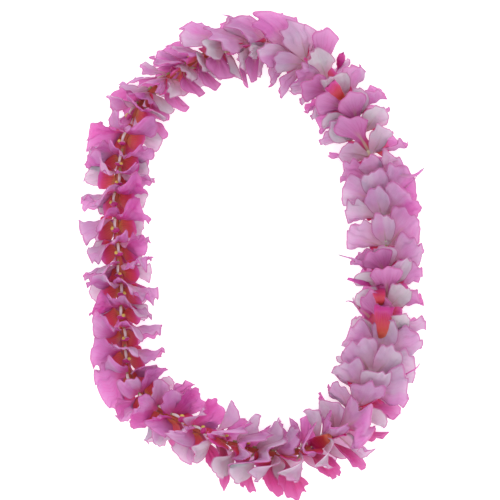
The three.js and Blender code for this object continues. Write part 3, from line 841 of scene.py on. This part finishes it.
# Torn strips of petal, one bud and four throats like funnels, which lie on the petals and partly stick out.
# Each runs from its root to its tip: places seen from above with the rise over the petals, and the width at
# each. Flat is its thickness for its width, and taper how much of that goes towards the tip. Twist is in
# degrees, and tone is the depth of its colour.
strip = {"taper": 0, "twist": 0}
funnel = {"look": "funnel", "flat": 0.4, "taper": 0.8, "twist": 0}
strays = [
    {"name": "curledStrip", **strip, "look": "petalBack", "tone": 0.9, "flat": 0.15, "twist": 60,
     "path": [(0.1345, 0.0680, 0), (0.1440, 0.0664, 0.003), (0.1494, 0.0680, 0.004), (0.1530, 0.0704, 0.004),
              (0.1566, 0.0736, 0.001)],
     "widths": [0.0030, 0.0044, 0.0054, 0.0030, 0.0006]},
    {"name": "thinStrip", **strip, "look": "petalBack", "tone": 1.0, "flat": 0.4, "twist": 20,
     "path": [(0.1395, 0.0560, 0), (0.1430, 0.0590, 0.002), (0.1465, 0.0620, 0.003), (0.1498, 0.0662, 0.003)],
     "widths": [0.0016, 0.0013, 0.0012, 0.0008]},
    {"name": "innerStrip", **strip, "look": "petalFront", "tone": 0.5, "flat": 0.16, "twist": 60,
     "path": [(0.1058, -0.0185, 0), (0.0977, -0.0113, 0.002), (0.0914, -0.0075, 0.003),
              (0.0860, -0.0062, 0.003), (0.0806, -0.0045, 0.002)],
     "widths": [0.0032, 0.0046, 0.0034, 0.0018, 0.0008]},
    {"name": "bluntStrip", **strip, "look": "petalFront", "tone": 0.9, "flat": 0.2, "twist": 30,
     "path": [(0.1094, -0.0311, 0), (0.1004, -0.0293, 0.002), (0.0941, -0.0275, 0.002),
              (0.0882, -0.0259, 0.001)],
     "widths": [0.0044, 0.0050, 0.0036, 0.0028]},
    {"name": "forkedStrip", **strip, "look": "lipBack", "tone": 0.3, "flat": 0.14, "twist": 10,
     "path": [(0.1085, -0.0617, 0), (0.1022, -0.0554, 0.002), (0.0959, -0.0507, 0.002),
              (0.0932, -0.0437, 0.001)],
     "widths": [0.0096, 0.0064, 0.0018, 0.0010]},
    {"name": "forkedTip", **strip, "look": "lipBack", "tone": 0.3, "flat": 0.5,
     "path": [(0.0990, -0.0532, 0.001), (0.0950, -0.0490, 0.002), (0.0914, -0.0466, 0.002),
              (0.0869, -0.0464, 0.001)],
     "widths": [0.0022, 0.0015, 0.0014, 0.0008]},
    {"name": "outerThread", **strip, "look": "petalFront", "tone": 1.0, "flat": 0.5,
     "path": [(0.1365, -0.1145, 0), (0.1431, -0.1103, 0.001), (0.1485, -0.1071, 0.001),
              (0.1525, -0.1024, 0.0)],
     "widths": [0.0018, 0.0012, 0.0012, 0.0008]},
    {"name": "bud", **strip, "look": "petalFront", "tone": 1.1, "flat": 1,
     "path": [(0.0765, 0.1575, 0), (0.0793, 0.1642, 0.002), (0.0813, 0.1684, 0.003), (0.0824, 0.1727, 0.003),
              (0.0831, 0.1762, 0.003), (0.0846, 0.1790, 0.003)],
     "widths": [0.0014, 0.0013, 0.0062, 0.0080, 0.0068, 0.0010]},
    {"name": "funnelInner", **funnel, "tone": 0.4,
     "path": [(0.1179, -0.0518, 0), (0.1166, -0.0452, 0.001), (0.1156, -0.0386, 0.002),
              (0.1148, -0.0320, 0.002)],
     "widths": [0.0050, 0.0084, 0.0116, 0.0126]},
    {"name": "funnelOuter", **funnel, "tone": 0.4,
     "path": [(0.1188, -0.0788, 0), (0.1190, -0.0692, 0.001), (0.1196, -0.0596, 0.002),
              (0.1206, -0.0500, 0.002)],
     "widths": [0.0070, 0.0112, 0.0160, 0.0184]},
    {"name": "funnelTop", **funnel, "tone": 0.6,
     "path": [(0.0851, 0.1337, 0), (0.0806, 0.1385, 0.001), (0.0761, 0.1433, 0.002), (0.0716, 0.1481, 0.002)],
     "widths": [0.0046, 0.0080, 0.0112, 0.0126]},
    {"name": "funnelBottom", **funnel, "tone": 0.6,
     "path": [(0.0725, -0.1668, 0), (0.0671, -0.1703, 0.001), (0.0617, -0.1738, 0.002),
              (0.0563, -0.1778, 0.002)],
     "widths": [0.0060, 0.0096, 0.0130, 0.0146]},
]
strayForm = {
    "sides": 16, "cuts": 24,
    "stops": 13,  # where the petals under it are felt for, along its way
    "feelFrom": 0.2,  # from this height downward
    "freeLevel": 0.01,  # where it would start with no petal under it
    "seat": 0.0004,  # how deep it lies in them
    "rootTie": 8,  # how firmly its root stays on its petal
    "scallop": 0.05, "scallops": 5,  # of its tip's rim
    "leafAcross": 0.8, "leafFrom": 0.25, "leafAlong": 0.7,  # the stretch of a petal's colours that it shows
}


def topPetal(x, y):  # the height of the highest petal there
    orchids = [piece for piece in scene.objects if piece.name.startswith("orchid")]
    hits = [piece.ray_cast((x, y, strayForm["feelFrom"]), (0, 0, -1)) for piece in orchids]
    return max((hit[1].z for hit in hits if hit[0]), default=None)


def drape(stray):  # its curve over the petals, one polynomial for each of x, y and z
    at = np.linspace(0, 1, len(stray["path"]))
    x, y, rise = [np.poly1d(np.polyfit(at, axis, 3)) for axis in np.array(stray["path"]).T]
    stops = np.linspace(0, 1, strayForm["stops"])
    tops = [topPetal(x(t), y(t)) for t in stops]
    level = next((top for top in tops if top is not None), strayForm["freeLevel"])
    for n, top in enumerate(tops):  # it lies on the petals, and runs on level past the last of them
        level = level if top is None else top - strayForm["seat"]
        tops[n] = level
    tops[0] -= stray["flat"] * stray["widths"][0] / 2
    ties = np.where(stops == 0, strayForm["rootTie"], 1)
    z = np.poly1d(np.polyfit(stops, tops + rise(stops), 4, w=ties))
    lift = max(0, *(tops - z(stops))[1:])  # clear of the highest petal under it
    return [x, y, z + np.poly1d([-lift, 2 * lift, 0])]


def addStray(stray):
    bm = bmesh.new()
    leafLayer = bm.verts.layers.float_vector.new("leaf")
    addPeg(bm, strayForm, 1, 1)
    curve = drape(stray)
    bends = [line.deriv() for line in curve]
    steps = len(stray["path"]) - 1
    for vert in bm.verts:
        t = vert.co.z + 0.5
        way = Vector([bend(t) for bend in bends]).normalized()
        side = way.cross(Vector((0, 0, 1))).normalized()
        upward = side.cross(way)
        step = min(int(t * steps), steps - 1)
        first, last = stray["widths"][step:step + 2]
        width = first + (last - first) * smooth(t * steps - step, 0, 1)
        thin = stray["flat"] * (1 - stray["taper"] * t * t)
        a, b = vert.co.x * width / 2, vert.co.y * thin * width / 2
        roll = math.radians(stray["twist"]) * math.sin(math.pi * t)
        a, b = a * math.cos(roll) - b * math.sin(roll), a * math.sin(roll) + b * math.cos(roll)
        along = strayForm["leafFrom"] + strayForm["leafAlong"] * t
        vert[leafLayer] = (vert.co.x * strayForm["leafAcross"], along, stray["tone"])
        turn = math.atan2(vert.co.y, vert.co.x)
        scallop = strayForm["scallop"] * t ** 3 * math.cos(strayForm["scallops"] * turn)
        vert.co = Vector([line(t + scallop) for line in curve]) + side * a + upward * b
    bmesh.ops.recalc_face_normals(bm, faces=bm.faces)
    shadeSmooth(bm)
    piece = addMesh(stray["name"], bm, materials[stray["look"]])
    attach(piece, "root")


bpy.context.view_layer.update()  # before the rays that feel for the petals
for stray in strays:
    addStray(stray)
print("strays added:", len(strays))

# the string, three strands of cotton twisted together
thread = {"strands": 3, "strandRadius": 0.00027, "fromMiddle": 0.00029, "twistLength": 0.0045, "steps": 1320,
          "sides": 6, "weld": 0.00001}


def addString():
    bm = bmesh.new()
    leafLayer = bm.verts.layers.float_vector.new("leaf")
    twists = round(loopLength / thread["twistLength"])
    steps, sides = thread["steps"], thread["sides"]
    for strand in range(thread["strands"]):
        verts = bmesh.ops.create_grid(bm, x_segments=steps, y_segments=sides, size=0.5)["verts"]
        share, ring = np.array([vert.co[:2] for vert in verts]).T + 0.5
        share, ring = np.clip(share, 0, 1), ring * math.tau
        s = share * loopLength
        middle = math.tau * (twists * share + strand / thread["strands"])
        out = thread["fromMiddle"] * np.cos(middle) + thread["strandRadius"] * np.cos(ring)
        up = thread["fromMiddle"] * np.sin(middle) + thread["strandRadius"] * np.sin(ring)
        for vert, point, turn, along in zip(verts, place(out, s, up), ring, s):
            vert.co = point
            vert[leafLayer] = (turn, along, strand)
    bmesh.ops.remove_doubles(bm, verts=bm.verts, dist=thread["weld"])
    bmesh.ops.recalc_face_normals(bm, faces=bm.faces)
    for face in bm.faces:
        face.smooth = True
    piece = addMesh("cottonString", bm, materials["cotton"])
    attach(piece, "root")
    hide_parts("string")


addString()
print("string twisted")

# floor and light
studio = {
    "floor": 3.0, "floorColour": (252, 252, 252), "floorRough": 0.9, "sky": 0.88,
    "floorGlow": 0.6,  # a light table, as in the photograph
    "white": (1, 1, 1, 1),
}
lamps = [
    {"name": "keyLight", "place": (-0.9, 0.9, 1.8), "size": 1.6, "power": 3},
    {"name": "fillLight", "place": (1.0, -0.8, 1.6), "size": 1.8, "power": 3},
]


def addStudio():
    bm = bmesh.new()
    bmesh.ops.create_grid(bm, x_segments=1, y_segments=1, size=studio["floor"] / 2)
    material, _, shader = newMaterial("paleFloor", studio["floorRough"])
    shader.inputs["Base Color"].default_value = srgb(*studio["floorColour"])
    shader.inputs["Emission Color"].default_value = studio["white"]
    shader.inputs["Emission Strength"].default_value = studio["floorGlow"]
    floor = addMesh("floor", bm, material)
    world = bpy.data.worlds.new("studio")
    world.use_nodes = True
    sky = world.node_tree.nodes["Background"].inputs
    sky["Color"].default_value = studio["white"]
    sky["Strength"].default_value = studio["sky"]
    scene.world = world
    for lamp in lamps:
        data = bpy.data.lights.new(lamp["name"], "AREA")
        data.size = lamp["size"]
        data.energy = lamp["power"]
        light = bpy.data.objects.new(lamp["name"], data)
        light.location = lamp["place"]
        light.rotation_euler = Vector(lamp["place"]).to_track_quat("Z", "Y").to_euler()
        scene.collection.objects.link(light)
    scene.view_settings.view_transform = "Standard"


addStudio()
print("studio lit")
